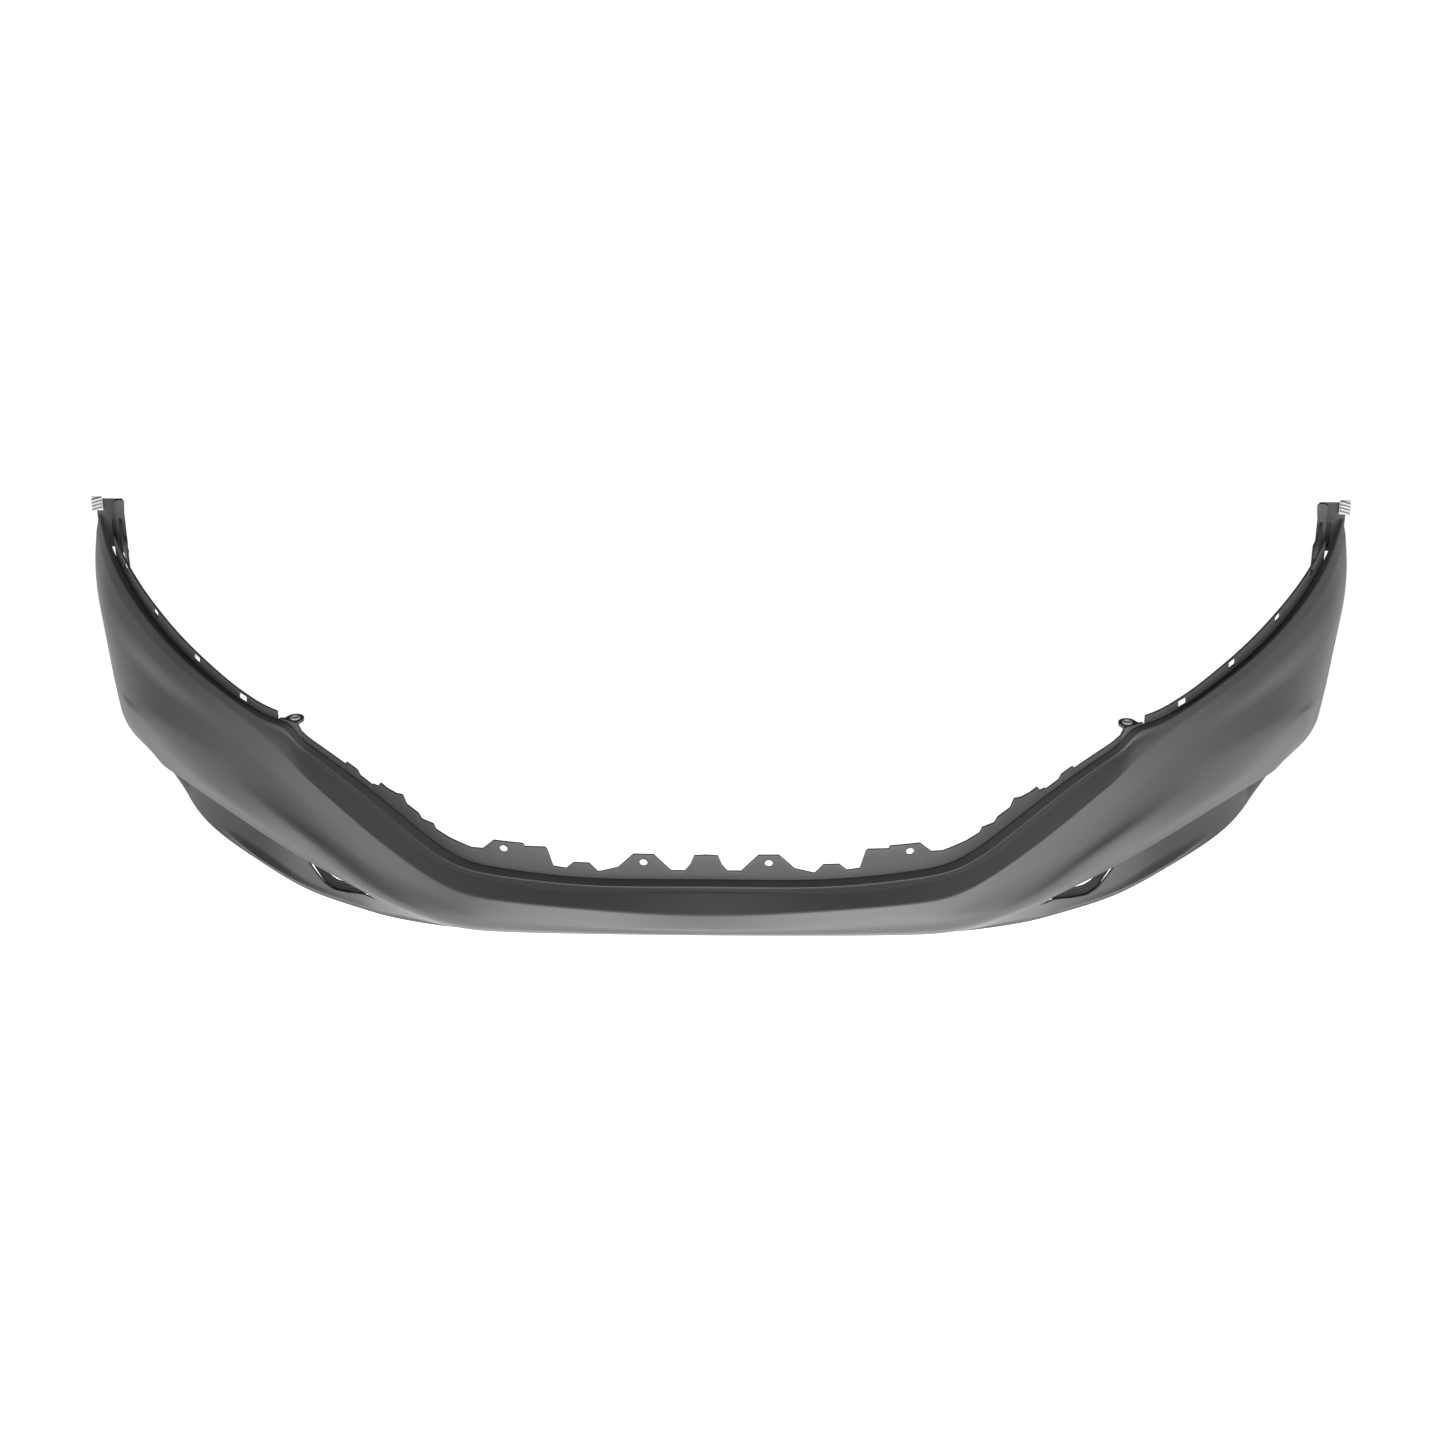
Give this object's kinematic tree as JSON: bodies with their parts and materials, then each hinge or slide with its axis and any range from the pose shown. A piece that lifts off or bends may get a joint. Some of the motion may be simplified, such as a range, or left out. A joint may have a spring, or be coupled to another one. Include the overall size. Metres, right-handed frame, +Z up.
{
  "type": "bumper cover",
  "caption": "Curved front upper bumper cover with rounded wing corners, slotted headlamp rails, a tabbed grille rail and slim fog lamp openings.",
  "frame": {"origin": "middle of the bounding box in plan, on the floor plane under the lower edge", "axes": "+X across the car to the left-hand wing as the model names it, +Y towards the rear of the car, +Z up"},
  "size_m": [1.775, 0.6428, 0.3769],
  "materials": {
    "primer_skin": "satin grey primer on moulded plastic",
    "raw_plastic": "unpainted dark grey plastic, fine grain",
    "clip_plastic": "light grey nylon, satin",
    "bezel_plastic": "black plastic, grained",
    "rivet_plastic": "black nylon, satin"
  },
  "bodies": {
    "root": {"corner_flange_left": "raw_plastic", "corner_flange_right": "raw_plastic", "cover_skin": "primer_skin", "end_bracket_left": "raw_plastic", "end_bracket_right": "raw_plastic", "fender_clip_left": "clip_plastic", "fender_clip_right": "clip_plastic", "fog_bezel_left": "bezel_plastic", "fog_bezel_right": "bezel_plastic", "grille_rail": "raw_plastic", "headlamp_rail_left": "raw_plastic", "headlamp_rail_right": "raw_plastic", "lug_collar_left": "clip_plastic", "lug_collar_right": "clip_plastic", "rivet_left_1": "rivet_plastic", "rivet_left_2": "rivet_plastic", "rivet_left_3": "rivet_plastic", "rivet_left_4": "rivet_plastic", "rivet_left_5": "rivet_plastic", "rivet_left_6": "rivet_plastic", "rivet_left_7": "rivet_plastic", "rivet_left_8": "rivet_plastic", "rivet_right_1": "rivet_plastic", "rivet_right_2": "rivet_plastic", "rivet_right_3": "rivet_plastic", "rivet_right_4": "rivet_plastic", "rivet_right_5": "rivet_plastic", "rivet_right_6": "rivet_plastic", "rivet_right_7": "rivet_plastic", "rivet_right_8": "rivet_plastic", "screw_lug_left": "primer_skin", "screw_lug_right": "primer_skin"}
  },
  "joints": []
}
